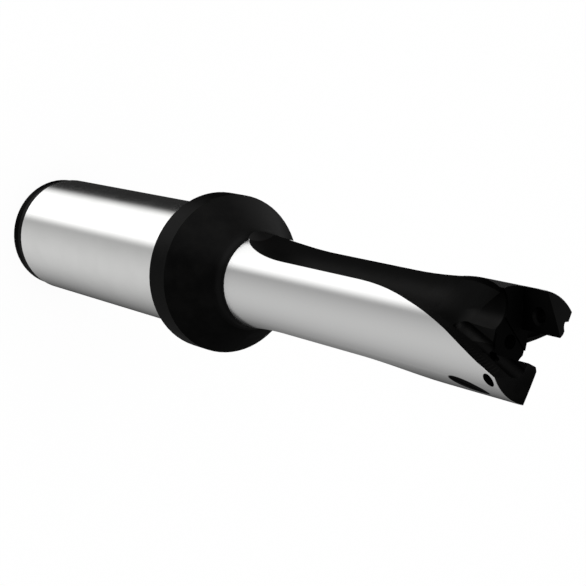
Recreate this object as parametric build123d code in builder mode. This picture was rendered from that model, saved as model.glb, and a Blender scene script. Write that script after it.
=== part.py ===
"""Body of an indexable-insert drill, turned and milled from one bar, shown without inserts or screws.

The body stands on the rear face of its shank: Z runs along the drill's axis from the shank to the
tip, X runs along the floors of the two insert seats, and the origin is the middle of the rear face.
All sizes are in millimetres and all angles in degrees.
"""

import os
from math import cos, radians, sin, tan

from build123d import *

# Shank
shank_diameter = 20.0
shank_ground_length = 50.0
shank_lead_length = 3.75
shank_lead_taper_length = 2.1
shank_lead_drop = 0.06
shank_edge_chamfer = 0.25
shank_relief = 0.2

# Flange and neck
flange_diameter = 25.0
flange_rim_width = 4.65
flange_edge_chamfer = 0.3
flange_cone_angle = 36.0
neck_diameter = 14.7
neck_length = 8.7
neck_fillet_radius = 3.0

# Fluted body
body_diameter = 14.5
body_length = 59.93
end_cone_slope = 0.5

# Flutes: straight along the body, twisted ahead of the seats
flute_radius = 5.77
flute_web = 5.1
flute_angle = -176.9
flute_run_out_radius = 16.9
flute_full_start = 12.5
twist_start = 30.9
twist_rate = 0.085
flank_start = 42.2
flank_angle = 27.0
flank_blend_radius = 4.0
tip_flute_start = 51.0
tip_flute_radius = 5.1
tip_flute_web = 5.4
twist_sections = 4

# Chip gashes in front of the seats
gash_radius = 3.3
gash_centre = (-4.8, -4.0)
gash_start = (-2.33, -1.38, 46.9)
gash_start_slope = 1.2

# Back of each tongue: a flat flank with a slanting groove beside it
flank_cut_angle = -103.5
flank_cut_distance = 2.67
flank_cut_start = 11.0
flank_cut_side = -1.52
flank_cut_lean = 0.359
groove_radius = 1.1
groove_tip = (1.99, -4.27, 1.17)
groove_root = (-1.55, -3.25, -10.1)

# Slit ground into the outside of each tongue
slit_angle = -41.6
slit_below_rim = 6.8
slit_tilt = 18.2
slit_depth = 0.25
slit_wheel_radius = 24.2
slit_edge_radius = 0.384

# Insert seats
outer_seat_depth = 1.8
inner_seat_depth = 1.7
seat_length = 4.3
seat_corner_radius = 0.6
inner_tongue_end = ((2.4, 0.0), (1.75, 0.27), (1.2, 1.25), (0.0, 6.3))
outer_tongue_end = ((-1.45, 0.0), (-1.7, 0.85), (-3.1, 3.15), (-5.3, 6.2))
web_groove_angle = 36.9
web_groove_width = 2.2
web_groove_depth = 0.25

# Holes
screw_hole_diameter = 1.75
screw_mouth_diameter = 2.4
screw_hole_x = 3.54
screw_hole_below_rim = 1.37
coolant_inlet_diameter = 6.0
coolant_inlet_length = 62.0
coolant_hole_diameter = 1.9
side_hole_diameter = 0.96
side_hole_mouth = (1.55, -3.12, -4.0)
side_hole_root = -9.9

# Places along the axis
shank_length = shank_lead_length + shank_ground_length
rim_top = shank_length + flange_rim_width
body_start = rim_top + neck_length
rim_z = body_start + body_length
body_radius = body_diameter / 2
apex_z = rim_z + end_cone_slope * body_radius
stop_z = rim_z - seat_length
web_z = stop_z - web_groove_depth
beyond_tip = apex_z + 2.0


def turned_outline():
    """Half section of the turned blank, from the rear face to the cone of the end face."""
    shank_radius = shank_diameter / 2
    lead_radius = shank_radius - shank_relief
    edge_radius = lead_radius - shank_lead_drop
    flange_radius = flange_diameter / 2
    neck_radius = neck_diameter / 2
    cone_length = (flange_radius - neck_radius) / tan(radians(flange_cone_angle))
    Polyline(
        (0, 0),
        (edge_radius - shank_edge_chamfer, 0),
        (edge_radius, shank_edge_chamfer),
        (lead_radius, shank_lead_taper_length),
        (lead_radius, shank_lead_length),
        (shank_radius, shank_lead_length),
        (shank_radius, shank_length),
        (flange_radius - flange_edge_chamfer, shank_length),
        (flange_radius, shank_length + flange_edge_chamfer),
        (flange_radius, rim_top),
    )
    FilletPolyline(
        (flange_radius, rim_top),
        (neck_radius, rim_top + cone_length),
        (neck_radius, body_start),
        radius=neck_fillet_radius,
    )
    Polyline(
        (neck_radius, body_start),
        (body_radius, body_start),
        (body_radius, rim_z),
        (0, apex_z),
        (0, 0),
    )


def flute_direction(z):
    """Direction of the flute's middle at height z: straight at first, turning faster and faster."""
    return flute_angle + twist_rate * max(z - twist_low, 0.0) ** 2


def flute_circle(z):
    """Place and radius of the flute's circle at height z, measured from the drill's axis."""
    progress = min(max((z - flank_low) / (tip_flute_low - flank_low), 0.0), 1.0)
    radius = flute_radius + (tip_flute_radius - flute_radius) * progress
    web = flute_web + (tip_flute_web - flute_web) * progress
    return web / 2 + radius, radius


def flute_section(z, has_flank):
    """Section of the flute at height z; the flank flattens the side that turns away from the tip."""
    distance, radius = flute_circle(z)
    with BuildSketch(Plane.XY.offset(z).rotated((0, 0, flute_direction(z)))) as section:
        with Locations((distance, 0)):
            Circle(radius)
        if has_flank:
            with Locations(Location((distance - radius, 0), flank_angle)):
                Rectangle(
                    2 * body_diameter,
                    2 * body_diameter,
                    align=(Align.MIN, Align.CENTER),
                    mode=Mode.INTERSECT,
                )
            fillet(section.vertices().sort_by_distance((0, 0))[0], flank_blend_radius)
    return section.sketch


# Flute: a round run-out, a straight length and the twisted lofts up to the tip
flute_low = body_start + flute_full_start
twist_low = body_start + twist_start
flank_low = body_start + flank_start
tip_flute_low = body_start + tip_flute_start
flute_distance = flute_web / 2 + flute_radius
start_plane = Plane.XY.offset(flute_low).rotated((0, 0, flute_angle))
with BuildPart() as flute:
    with BuildSketch(start_plane):
        with Locations((flute_distance, 0)):
            Circle(flute_radius)
    pivot = start_plane.from_local_coords((flute_distance + flute_run_out_radius, 0, 0))
    revolve(axis=Axis(pivot, start_plane.y_dir), revolution_arc=-90)
    with BuildSketch(start_plane):
        with Locations((flute_distance, 0)):
            Circle(flute_radius)
    extrude(amount=twist_low - flute_low)
    for low, high, has_flank in (
        (twist_low, flank_low, False),
        (flank_low, tip_flute_low, True),
        (tip_flute_low, beyond_tip, True),
    ):
        rise = (high - low) / twist_sections
        loft([flute_section(low + rise * step, has_flank) for step in range(twist_sections + 1)])

# Chip gash along the axis, then flank and groove along the back of the other tongue
gash_corner = Vector(*gash_start) + Vector(0, 0, body_start)
with BuildPart() as chip_gash:
    with BuildSketch(Plane.XY.offset(twist_low)):
        with Locations(gash_centre):
            Circle(gash_radius)
    extrude(amount=beyond_tip - twist_low)
    split(bisect_by=Plane(origin=gash_corner, z_dir=(0, gash_start_slope, 1)), keep=Keep.TOP)

flank_cut_direction = (cos(radians(flank_cut_angle)), sin(radians(flank_cut_angle)), 0)
flank_cut_plane = Plane(
    origin=Vector(*flank_cut_direction) * flank_cut_distance + Vector(0, 0, rim_z - flank_cut_start),
    x_dir=(-flank_cut_direction[1], flank_cut_direction[0], 0),
    z_dir=flank_cut_direction,
)
flank_cut_height = beyond_tip - rim_z + flank_cut_start
with BuildPart() as flank_cut:
    with BuildSketch(flank_cut_plane):
        Polygon(
            (-gash_radius, 0),
            (flank_cut_side, 0),
            (flank_cut_side + flank_cut_lean * flank_cut_height, flank_cut_height),
            (-gash_radius, flank_cut_height),
            align=None,
        )
    extrude(amount=body_radius)

groove_low = Vector(*groove_root) + Vector(0, 0, rim_z)
groove_high = Vector(*groove_tip) + Vector(0, 0, rim_z)
groove_direction = (groove_high - groove_low).normalized()
with BuildPart() as slanting_groove:
    with BuildSketch(Plane(origin=groove_low, z_dir=groove_direction)):
        Circle(groove_radius)
    extrude(amount=(groove_high - groove_low).length + 4.0)
    with Locations(groove_low):
        Sphere(groove_radius)

# Slit left by a thin wheel
slit_direction = (cos(radians(slit_angle)), sin(radians(slit_angle)), 0)
slit_middle = Vector(*slit_direction) * body_radius + Vector(0, 0, rim_z - slit_below_rim)
wheel_height = slit_wheel_radius + slit_edge_radius - slit_depth
with BuildPart() as slit:
    with Locations(Plane(origin=slit_middle, x_dir=(0, 0, 1), z_dir=slit_direction)):
        with Locations(Location((0, 0, wheel_height), (0, 0, -slit_tilt))):
            Torus(slit_wheel_radius, slit_edge_radius, rotation=(90, 0, 0))

# Both seats and the slot between the tongues
with BuildPart() as seat_pocket:
    with BuildSketch(Plane.XY.offset(stop_z)):
        with Locations((0, (outer_seat_depth - inner_seat_depth) / 2)):
            Rectangle(body_diameter + 1, outer_seat_depth + inner_seat_depth)
    extrude(amount=beyond_tip - stop_z)
    fillet(seat_pocket.faces().sort_by(Axis.Z)[0].edges().filter_by(Axis.X), seat_corner_radius)
    with BuildSketch(Plane.XY.offset(stop_z)):
        Polygon(
            *((x, -inner_seat_depth - below) for x, below in inner_tongue_end),
            (-body_diameter, -body_diameter),
            (-body_diameter, outer_seat_depth),
            *((x, outer_seat_depth + below) for x, below in outer_tongue_end),
            (body_diameter, body_diameter),
            (body_diameter, -inner_seat_depth),
            align=None,
        )
    extrude(amount=beyond_tip - stop_z)
    with BuildSketch(Plane.XY.offset(web_z)):
        Rectangle(body_diameter + 1, web_groove_width, rotation=web_groove_angle)
    extrude(amount=beyond_tip - web_z)

with BuildPart() as drill_body:
    with BuildSketch(Plane.XZ):
        with BuildLine():
            turned_outline()
        make_face()
    revolve(axis=Axis.Z)
    for half_turn in (0, 180):
        with Locations(Rot(0, 0, half_turn)):
            add(flute.part, mode=Mode.SUBTRACT)
            add(chip_gash.part, mode=Mode.SUBTRACT)
            add(flank_cut.part, mode=Mode.SUBTRACT)
            add(slanting_groove.part, mode=Mode.SUBTRACT)
            add(slit.part, mode=Mode.SUBTRACT)
    add(seat_pocket.part, mode=Mode.SUBTRACT)
    screw_z = rim_z - screw_hole_below_rim
    outer_seat = Plane(origin=(-screw_hole_x, outer_seat_depth, screw_z), z_dir=(0, -1, 0))
    inner_seat = Plane(origin=(screw_hole_x, -inner_seat_depth, screw_z), z_dir=(0, 1, 0))
    for seat in (outer_seat, inner_seat):
        with Locations(seat):
            CounterSinkHole(
                screw_hole_diameter / 2,
                screw_mouth_diameter / 2,
                depth=body_diameter,
                counter_sink_angle=90,
            )
    with BuildSketch(Plane.XY):
        Circle(coolant_inlet_diameter / 2)
    extrude(amount=coolant_inlet_length, mode=Mode.SUBTRACT)
    with BuildSketch(Plane.XY):
        Circle(coolant_hole_diameter / 2)
    extrude(amount=apex_z, mode=Mode.SUBTRACT)
    side_hole_low = Vector(0, 0, rim_z + side_hole_root)
    side_hole_high = Vector(*side_hole_mouth) + Vector(0, 0, rim_z)
    side_hole_direction = (side_hole_high - side_hole_low).normalized()
    with BuildSketch(Plane(origin=side_hole_low, z_dir=side_hole_direction)):
        Circle(side_hole_diameter / 2)
    side_hole_length = (side_hole_high - side_hole_low).length + groove_radius
    extrude(amount=side_hole_length, mode=Mode.SUBTRACT)

drill_body.part.label = "drill_body"
os.makedirs("parts", exist_ok=True)
export_step(drill_body.part, "parts/drill_body.step")
print("solids", len(drill_body.part.solids()), "volume", drill_body.part.volume)
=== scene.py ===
"""Drill body for indexable inserts: ground steel and blackened steel, on a white table."""

from math import cos, pi, radians, sin

import bpy
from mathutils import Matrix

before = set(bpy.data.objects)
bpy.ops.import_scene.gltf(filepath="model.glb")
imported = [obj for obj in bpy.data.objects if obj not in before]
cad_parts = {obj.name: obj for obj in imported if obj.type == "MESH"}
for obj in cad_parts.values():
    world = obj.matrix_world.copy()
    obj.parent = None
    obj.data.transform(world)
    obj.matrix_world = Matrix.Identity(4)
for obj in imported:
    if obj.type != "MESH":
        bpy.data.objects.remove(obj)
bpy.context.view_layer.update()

MM = 0.001

# Places on the drill body: heights above its rear face and distances from its axis
REAR_BAND_CHAMFER = 0.25 * MM
REAR_BAND_TAPER = 2.1 * MM
REAR_BAND_TOP = 3.75 * MM
SHANK_TOP = 53.75 * MM
SHANK_SKIN = 9.93 * MM
BODY_BOTTOM = 67.1 * MM
BODY_SKIN = 7.19 * MM
BODY_RADIUS = 7.25 * MM

# Black ellipses on the body's skin: angle over half a turn, height, tilt, half length and half width
SLIT_MOUTH = (radians(138.3), 120.4 * MM, radians(13.0), 3.42 * MM, 1.15 * MM)
RUN_OUT_CORNER = (radians(172.0), BODY_BOTTOM, 0.0, 6.0 * MM, 2.6 * MM)
ELLIPSE_EDGE = (0.9, 1.1)

# Fine ridges that the cutter left between each slanting groove and the skin
RIDGE_PITCH = 0.491 * MM
RIDGE_HEIGHTS = (119.465 * MM, 126.5 * MM)
RIDGE_INSIDE = 5.7 * MM
RIDGE_SECTOR = (radians(78.0), radians(140.0))

# The floors of the flutes, where painted light lightens the oxide
FLOOR_RADII = (3.2 * MM, 6.4 * MM)
FLOOR_START = (70.0 * MM, 78.0 * MM)
FLOOR_END = (104.0 * MM, 114.0 * MM)

# The deep side of each gash, where painted light lightens the oxide
GASH_RADII = (3.0 * MM, 3.9 * MM)
GASH_START = (114.0 * MM, 117.0 * MM)
GASH_SECTOR = (radians(12.0), radians(93.0))

# The floors of the seats, where painted shade darkens the oxide, and the backs of the tongues beside
# them, which are left out of it
SEAT_FLOORS = (122.3 * MM, 122.9 * MM)
TONGUE_BACK_INSIDE = 4.2 * MM
TONGUE_BACK_SECTOR = (radians(80.0), radians(160.0))

# Colours of the steel and of the oxide, and of the painted light and shade on the oxide
GROUND_STEEL = (0.80, 0.80, 0.79, 1.0)
GROUND_STEEL_DULL = (0.77, 0.77, 0.76, 1.0)
BODY_STEEL = (0.70, 0.70, 0.695, 1.0)
STEEL_EDGE_TINT = (1.0, 1.0, 1.0, 1.0)
TURNED_OXIDE = (0.0080, 0.0080, 0.0080, 1.0)
TURNED_OXIDE_WORN = (0.0105, 0.0104, 0.0102, 1.0)
MILLED_OXIDE = (0.0040, 0.0040, 0.0040, 1.0)
MILLED_OXIDE_WORN = (0.0056, 0.0055, 0.0054, 1.0)
FLUTE_FLOOR_PAINTED_LIGHT = (0.0170, 0.0168, 0.0165, 1.0)
GASH_FLOOR_PAINTED_LIGHT = (0.0105, 0.0104, 0.0102, 1.0)
SEAT_FLOOR_PAINTED_SHADE = (0.0018, 0.0018, 0.0018, 1.0)
RIDGE_TOP_PAINTED_HIGHLIGHT = (0.0075, 0.0074, 0.0072, 1.0)
TAPER_PAINTED_SHADE = (0.0040, 0.0040, 0.0040, 1.0)
OXIDE_EDGE_TINT = (0.55, 0.55, 0.55, 1.0)
TAPER_PAINTED_SHADE_EDGE_TINT = (0.48, 0.48, 0.48, 1.0)

# Noise patterns: scale along each axis, detail and roughness of the noise
GRINDING_LINES = ((90.0, 90.0, 9000.0), 3.0, 0.6)
HANDLING_MARKS = ((160.0, 160.0, 160.0), 4.0, 0.6)
OXIDE_PATCHES = ((420.0, 420.0, 420.0), 4.0, 0.6)
CUTTER_GRAIN = ((500.0, 500.0, 2600.0), 2.0, 0.5)

# Noise values between which a pattern goes from not showing to showing fully
LINES_SHOW = (0.2, 0.8)
MARKS_TINT = (0.35, 0.75)
MARKS_DULL = (0.3, 0.8)
PATCHES_TINT = (0.3, 0.8)
PATCHES_DULL = (0.25, 0.8)

# Roughness where a pattern doesn't show and where it shows fully
STEEL_ROUGHNESS = (0.12, 0.15)
LINES_ROUGHNESS = (0.0, 0.03)
TURNED_ROUGHNESS = (0.34, 0.46)
MILLED_ROUGHNESS = (0.50, 0.62)

# Height of the bumps, and how strongly each kind shows
BUMP_HEIGHT = 0.02 * MM
GRINDING_BUMP = 0.03
CUTTER_BUMP = 0.16
RIDGE_BUMP = 0.5

# The table, and the share of plain white in what the camera sees of it
TABLE_SIZE = 6.0
TABLE_PAPER = (0.9, 0.9, 0.9, 1.0)
TABLE_GLOW = 0.95
WHITE = (1.0, 1.0, 1.0, 1.0)

# Soft boxes that the steel mirrors: directions and edges in degrees, and strengths
KEY_DIRECTION = -161.5
KEY_EDGES = (48.5, 19.0)
KEY_STRENGTH = 1.3
FILL_DIRECTION = -62.0
FILL_REACH = 0.9
FILL_FALL = 1.8
FILL_STRENGTH = 0.68
SIDE_DIRECTION = 122.0
SIDE_EDGES = (45.0, 12.0)
SIDE_STRENGTH = 1.4

# How the soft boxes weaken from below the horizon to above it, and the ceiling's glow
LOWER_EDGE = (-0.35, -0.05)
KEY_ABOVE = 0.5
FILL_ABOVE = 0.22
CEILING_EDGE = (-0.05, 0.3)
CEILING_STRENGTH = (0.02, 0.18)

# Overhead lamp: height, width and power
LAMP_HEIGHT = 0.7
LAMP_SIZE = 0.6
LAMP_POWER = 4.0

# Camera: place and nearest distance in metres, turn in degrees, sensor and lens in millimetres
CAMERA_PLACE = (-0.04047270, -0.13840584, 0.272222)
CAMERA_TURN = (-10.006424, -34.980313, 90.564276)
CAMERA_SENSOR = 36.0
CAMERA_LENS = 100.885
CAMERA_NEAREST = 0.01


class Nodes:
    """Adds nodes to a material or world and joins them, so that a finish reads from top to bottom."""

    def __init__(self, owner):
        owner.use_nodes = True
        self.tree = owner.node_tree
        self.tree.nodes.clear()

    def add(self, kind, inputs=None, **settings):
        node = self.tree.nodes.new(kind)
        for name, value in settings.items():
            setattr(node, name, value)
        for socket, value in (inputs or {}).items():
            if isinstance(value, bpy.types.NodeSocket):
                self.tree.links.new(value, node.inputs[socket])
            else:
                node.inputs[socket].default_value = value
        return node

    def math(self, operation, first, second=0.0):
        node = self.add("ShaderNodeMath", {0: first, 1: second}, operation=operation)
        return node.outputs[0]

    def vector(self, operation, first, second=(0.0, 0.0, 0.0)):
        return self.add("ShaderNodeVectorMath", {0: first, 1: second}, operation=operation)

    def plus(self, first, *others):
        for other in others:
            first = self.math("ADD", first, other)
        return first

    def minus(self, first, second):
        return self.math("SUBTRACT", first, second)

    def times(self, first, *others):
        for other in others:
            first = self.math("MULTIPLY", first, other)
        return first

    def squared_share(self, value, whole):
        """What share of the whole value is, squared."""
        return self.math("POWER", self.math("DIVIDE", value, whole), 2.0)

    def between(self, value, limits):
        """1 where value lies between the two limits, otherwise 0."""
        over = self.math("GREATER_THAN", value, limits[0])
        return self.times(over, self.math("LESS_THAN", value, limits[1]))

    # A Mix node has inputs of every kind at once: 2 and 3 are numbers, 6 and 7 are colours
    def blend(self, share, first, second):
        """first where share is 0 and second where it is 1, for numbers."""
        node = self.add("ShaderNodeMix", {0: share, 2: first, 3: second})
        return node.outputs[0]

    def blend_colour(self, share, first, second):
        """first where share is 0 and second where it is 1, for colours."""
        node = self.add("ShaderNodeMix", {0: share, 6: first, 7: second}, data_type="RGBA")
        return node.outputs[2]

    def ramp(self, value, limits, results=(0.0, 1.0)):
        """value going smoothly from the first result at the first limit to the second at the second."""
        low, high = limits
        start, end = results
        node = self.add(
            "ShaderNodeMapRange",
            {"Value": value, "From Min": low, "From Max": high, "To Min": start, "To Max": end},
            interpolation_type="SMOOTHSTEP",
        )
        return node.outputs["Result"]

    def noise(self, place, pattern):
        scale, detail, roughness = pattern
        scaled = self.add("ShaderNodeMapping", {"Vector": place, "Scale": scale}).outputs["Vector"]
        node = self.add(
            "ShaderNodeTexNoise",
            {"Vector": scaled, "Scale": 1.0, "Detail": detail, "Roughness": roughness},
        )
        return node.outputs["Fac"]


class DrillPlace:
    """Where a point of the drill body lies: its height, its radius and its angle over half a turn."""

    def __init__(self, nodes):
        self.point = nodes.add("ShaderNodeTexCoord").outputs["Object"]
        x, y, z = nodes.add("ShaderNodeSeparateXYZ", {0: self.point}).outputs
        across = nodes.add("ShaderNodeCombineXYZ", {0: x, 1: y}).outputs[0]
        self.height = z
        self.radius = nodes.vector("LENGTH", across).outputs["Value"]
        self.half_turn = nodes.math("FLOORED_MODULO", nodes.math("ARCTAN2", y, x), pi)
        self.above_neck = nodes.math("GREATER_THAN", self.height, BODY_BOTTOM)


def outside_ellipse(nodes, drill, ellipse):
    """0 inside an ellipse on the body's skin and 1 outside it."""
    angle, height, tilt, half_length, half_width = ellipse
    arc = nodes.times(nodes.minus(drill.half_turn, angle), BODY_RADIUS)
    rise = nodes.minus(drill.height, height)
    along = nodes.plus(nodes.times(arc, sin(tilt)), nodes.times(rise, cos(tilt)))
    beside = nodes.minus(nodes.times(arc, cos(tilt)), nodes.times(rise, sin(tilt)))
    apart = nodes.plus(
        nodes.squared_share(along, half_length),
        nodes.squared_share(beside, half_width),
    )
    return nodes.ramp(apart, ELLIPSE_EDGE)


def ground_places(nodes, drill):
    """1 on the shank and on the outside of the body, but for the slits and the run-outs' corners."""
    on_shank = nodes.times(
        nodes.between(drill.height, (REAR_BAND_TOP, SHANK_TOP)),
        nodes.math("GREATER_THAN", drill.radius, SHANK_SKIN),
    )
    on_body = nodes.times(
        drill.above_neck,
        nodes.math("GREATER_THAN", drill.radius, BODY_SKIN),
        outside_ellipse(nodes, drill, SLIT_MOUTH),
        outside_ellipse(nodes, drill, RUN_OUT_CORNER),
    )
    return nodes.math("MAXIMUM", on_shank, on_body)


def ground_steel(nodes, drill):
    """Fine grinding lines run round the steel, with faint handling marks over them."""
    lines = nodes.noise(drill.point, GRINDING_LINES)
    marks = nodes.noise(drill.point, HANDLING_MARKS)
    shank = nodes.blend_colour(nodes.ramp(marks, MARKS_TINT), GROUND_STEEL, GROUND_STEEL_DULL)
    return {
        "colour": nodes.blend_colour(drill.above_neck, shank, BODY_STEEL),
        "edge tint": STEEL_EDGE_TINT,
        "roughness": nodes.plus(
            nodes.ramp(lines, LINES_SHOW, LINES_ROUGHNESS),
            nodes.ramp(marks, MARKS_DULL, STEEL_ROUGHNESS),
        ),
        "bump": lines,
        "bump strength": GRINDING_BUMP,
    }


def tone_floors(nodes, drill, oxide):
    """Paints light on the floors of the flutes and gashes, and paints shade on the floors of the seats.
    """
    # Painted light: the oxide on the flute floors is lighter
    flute_floor = nodes.times(
        nodes.ramp(drill.radius, FLOOR_RADII, (1.0, 0.0)),
        nodes.ramp(drill.height, FLOOR_START),
        nodes.ramp(drill.height, FLOOR_END, (1.0, 0.0)),
    )
    oxide = nodes.blend_colour(flute_floor, oxide, FLUTE_FLOOR_PAINTED_LIGHT)
    # Painted light: the oxide on the deep side of each gash is lighter
    gash_floor = nodes.times(
        nodes.ramp(drill.radius, GASH_RADII, (1.0, 0.0)),
        nodes.ramp(drill.height, GASH_START),
        nodes.math("LESS_THAN", drill.height, SEAT_FLOORS[0]),
        nodes.between(drill.half_turn, GASH_SECTOR),
    )
    oxide = nodes.blend_colour(gash_floor, oxide, GASH_FLOOR_PAINTED_LIGHT)
    tongue_back = nodes.times(
        nodes.math("GREATER_THAN", drill.radius, TONGUE_BACK_INSIDE),
        nodes.between(drill.half_turn, TONGUE_BACK_SECTOR),
    )
    # Painted shade: the oxide on the seat floors is darker, but not on the backs of the tongues
    seat_floor = nodes.times(
        nodes.between(drill.height, SEAT_FLOORS),
        nodes.minus(1.0, tongue_back),
    )
    return nodes.blend_colour(seat_floor, oxide, SEAT_FLOOR_PAINTED_SHADE)


def oxide_with_painted_light_and_shade(nodes, drill):
    """A little uneven and duller where it was milled, with painted light on the flute and gash floors, a
    painted highlight on the ridge tops, and painted shade on the seat floors and on the taper of the rear
    band.
    """
    patches = nodes.noise(drill.point, OXIDE_PATCHES)
    worn = nodes.ramp(patches, PATCHES_TINT)
    turned = nodes.blend_colour(worn, TURNED_OXIDE, TURNED_OXIDE_WORN)
    milled = nodes.blend_colour(worn, MILLED_OXIDE, MILLED_OXIDE_WORN)
    oxide = tone_floors(nodes, drill, nodes.blend_colour(drill.above_neck, turned, milled))
    # Painted shade: the taper of the rear band gets a darker colour and a weaker edge tint
    on_taper = nodes.between(drill.height, (REAR_BAND_CHAMFER, REAR_BAND_TAPER))
    oxide = nodes.blend_colour(on_taper, oxide, TAPER_PAINTED_SHADE)

    # The milling cutter left a fine grain, and a row of ridges on the back of each tongue, whose tops get
    # a painted highlight
    ridged = nodes.times(
        nodes.between(drill.height, RIDGE_HEIGHTS),
        nodes.between(drill.half_turn, RIDGE_SECTOR),
        nodes.math("GREATER_THAN", drill.radius, RIDGE_INSIDE),
    )
    ridge_place = nodes.minus(drill.height, RIDGE_HEIGHTS[0])
    ridge_wave = nodes.math("SINE", nodes.times(ridge_place, 2.0 * pi / RIDGE_PITCH))
    # Painted highlight: the ridge tops get a lighter colour than the oxide
    highlighted_ridge_tops = nodes.times(ridged, nodes.ramp(ridge_wave, (0.0, 1.0)))
    return {
        "colour": nodes.blend_colour(highlighted_ridge_tops, oxide, RIDGE_TOP_PAINTED_HIGHLIGHT),
        "edge tint": nodes.blend_colour(on_taper, OXIDE_EDGE_TINT, TAPER_PAINTED_SHADE_EDGE_TINT),
        "roughness": nodes.blend(
            drill.above_neck,
            nodes.ramp(patches, PATCHES_DULL, TURNED_ROUGHNESS),
            nodes.ramp(patches, PATCHES_DULL, MILLED_ROUGHNESS),
        ),
        "bump": nodes.blend(ridged, nodes.noise(drill.point, CUTTER_GRAIN), ridge_wave),
        "bump strength": nodes.blend(ridged, CUTTER_BUMP, RIDGE_BUMP),
    }


def drill_body_finish():
    """Bright ground steel on the shank and on the outside of the body, black oxide with painted light and
    shade elsewhere.
    """
    material = bpy.data.materials.new("drill_body_finish")
    nodes = Nodes(material)
    drill = DrillPlace(nodes)
    ground = ground_places(nodes, drill)
    oxide = oxide_with_painted_light_and_shade(nodes, drill)
    steel = ground_steel(nodes, drill)
    bump = nodes.add(
        "ShaderNodeBump",
        {
            "Strength": nodes.blend(ground, oxide["bump strength"], steel["bump strength"]),
            "Distance": BUMP_HEIGHT,
            "Height": nodes.blend(ground, oxide["bump"], steel["bump"]),
        },
    )
    surface = nodes.add(
        "ShaderNodeBsdfPrincipled",
        {
            "Base Color": nodes.blend_colour(ground, oxide["colour"], steel["colour"]),
            "Metallic": 1.0,
            "Roughness": nodes.blend(ground, oxide["roughness"], steel["roughness"]),
            "Specular Tint": nodes.blend_colour(ground, oxide["edge tint"], steel["edge tint"]),
            "Normal": bump.outputs[0],
        },
    )
    nodes.add("ShaderNodeOutputMaterial", {"Surface": surface.outputs[0]})
    return material


def table_finish():
    """White table: the camera sees it nearly white by itself, and the rest of it takes the shadow."""
    material = bpy.data.materials.new("white_table")
    nodes = Nodes(material)
    paper = nodes.add("ShaderNodeBsdfDiffuse", {"Color": TABLE_PAPER}).outputs[0]
    glow = nodes.add("ShaderNodeEmission", {"Color": WHITE, "Strength": 1.0}).outputs[0]
    seen = nodes.add("ShaderNodeLightPath").outputs["Is Camera Ray"]
    own_light = nodes.times(seen, TABLE_GLOW)
    surface = nodes.add("ShaderNodeMixShader", {0: own_light, 1: paper, 2: glow})
    nodes.add("ShaderNodeOutputMaterial", {"Surface": surface.outputs[0]})
    return material


def add_table():
    bpy.ops.object.select_all(action="DESELECT")
    bpy.ops.mesh.primitive_plane_add(size=TABLE_SIZE, location=(0.0, 0.0, 0.0))
    table = bpy.context.object
    table.name = "table"
    table.data.materials.append(table_finish())
    table.visible_glossy = False
    table.visible_shadow = False


def facing(nodes, direction, azimuth):
    """How squarely a direction points towards an azimuth in degrees, from -1 to 1."""
    towards = (cos(radians(azimuth)), sin(radians(azimuth)), 0.0)
    return nodes.vector("DOT_PRODUCT", direction, towards).outputs["Value"]


def box_edges(edges):
    """The squareness at the outer and inner edge of a soft box, from its edge angles in degrees."""
    return tuple(cos(radians(angle)) for angle in edges)


def studio_world():
    """White to the camera; the steel mirrors a bright soft box, a wide grey one and dark between them."""
    world = bpy.data.worlds.new("studio")
    bpy.context.scene.world = world
    nodes = Nodes(world)
    direction = nodes.add("ShaderNodeTexCoord").outputs["Generated"]
    height = nodes.add("ShaderNodeSeparateXYZ", {0: direction}).outputs[2]
    level = nodes.vector("MULTIPLY", direction, (1.0, 1.0, 0.0)).outputs[0]
    level = nodes.vector("NORMALIZE", level).outputs[0]

    key = nodes.times(
        nodes.ramp(facing(nodes, level, KEY_DIRECTION), box_edges(KEY_EDGES), (0.0, KEY_STRENGTH)),
        nodes.ramp(height, LOWER_EDGE, (1.0, KEY_ABOVE)),
    )
    reach = nodes.plus(facing(nodes, level, FILL_DIRECTION), FILL_REACH)
    reach = nodes.math("MAXIMUM", nodes.math("DIVIDE", reach, 1.0 + FILL_REACH), 0.0)
    fill = nodes.times(
        nodes.math("POWER", reach, FILL_FALL),
        FILL_STRENGTH,
        nodes.ramp(height, LOWER_EDGE, (1.0, FILL_ABOVE)),
    )
    side = nodes.ramp(
        facing(nodes, direction, SIDE_DIRECTION),
        box_edges(SIDE_EDGES),
        (0.0, SIDE_STRENGTH),
    )
    ceiling = nodes.ramp(height, CEILING_EDGE, CEILING_STRENGTH)
    light = nodes.plus(key, fill, side, ceiling)

    soft_boxes = nodes.add("ShaderNodeBackground", {"Color": WHITE, "Strength": light}).outputs[0]
    backdrop = nodes.add("ShaderNodeBackground", {"Color": WHITE, "Strength": 1.0}).outputs[0]
    seen = nodes.add("ShaderNodeLightPath").outputs["Is Camera Ray"]
    surface = nodes.add("ShaderNodeMixShader", {0: seen, 1: soft_boxes, 2: backdrop})
    nodes.add("ShaderNodeOutputWorld", {"Surface": surface.outputs[0]})


def add_overhead_lamp():
    bpy.ops.object.light_add(type="AREA", location=(0.0, 0.0, LAMP_HEIGHT))
    lamp = bpy.context.object
    lamp.name = "overhead_lamp"
    lamp.data.shape = "SQUARE"
    lamp.data.size = LAMP_SIZE
    lamp.data.energy = LAMP_POWER


def add_camera():
    """The photograph's view: from above and in front, with the drill's tip to the right."""
    turn = [radians(angle) for angle in CAMERA_TURN]
    bpy.ops.object.camera_add(location=CAMERA_PLACE, rotation=turn)
    camera = bpy.context.object
    camera.name = "photograph_view"
    camera.data.sensor_width = CAMERA_SENSOR
    camera.data.lens = CAMERA_LENS
    camera.data.clip_start = CAMERA_NEAREST
    bpy.context.scene.camera = camera


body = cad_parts["drill_body"]
body.data.materials.clear()
body.data.materials.append(drill_body_finish())

add_table()
studio_world()
add_overhead_lamp()
add_camera()
bpy.context.scene.view_settings.view_transform = "Standard"
